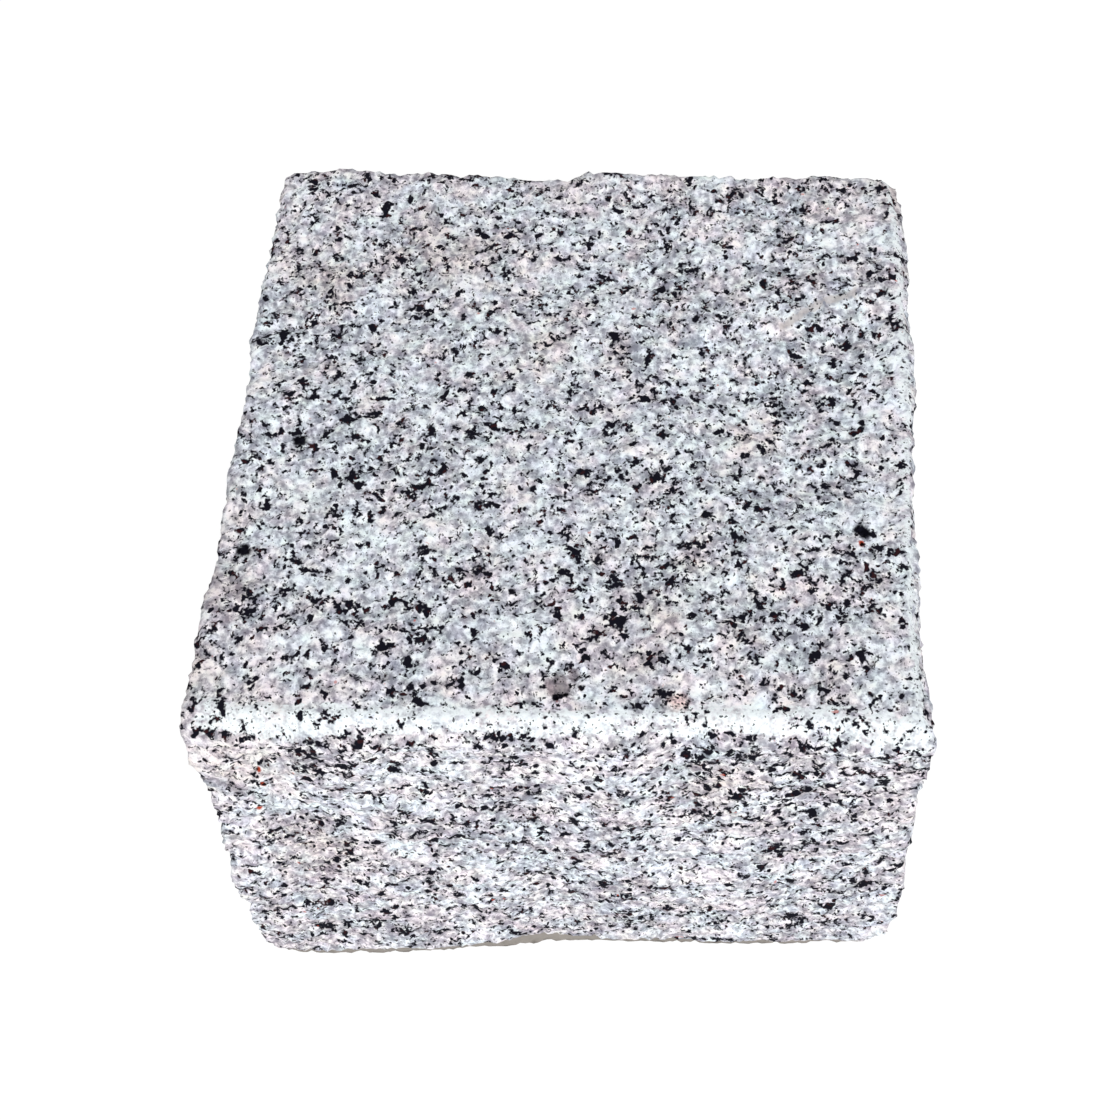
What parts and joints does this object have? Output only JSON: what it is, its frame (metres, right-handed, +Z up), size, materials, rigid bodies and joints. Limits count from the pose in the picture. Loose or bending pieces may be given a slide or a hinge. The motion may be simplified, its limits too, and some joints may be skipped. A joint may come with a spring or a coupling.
{
  "type": "granite sett",
  "caption": "Split granite paving sett, a rough near-cube with riven, scalloped faces, a crushed front arris and chipped corners.",
  "frame": {"origin": "middle of the bed, the flat underside that the sett lies on", "axes": "+Z up from the bed to the head, +X to the right along the front face, +Y from the front to the back"},
  "size_m": [0.1029, 0.1062, 0.0766],
  "materials": {
    "granite": "rough split silver-grey granite with black mica flecks"
  },
  "bodies": {
    "root": {"granite_sett": "granite"}
  },
  "joints": []
}
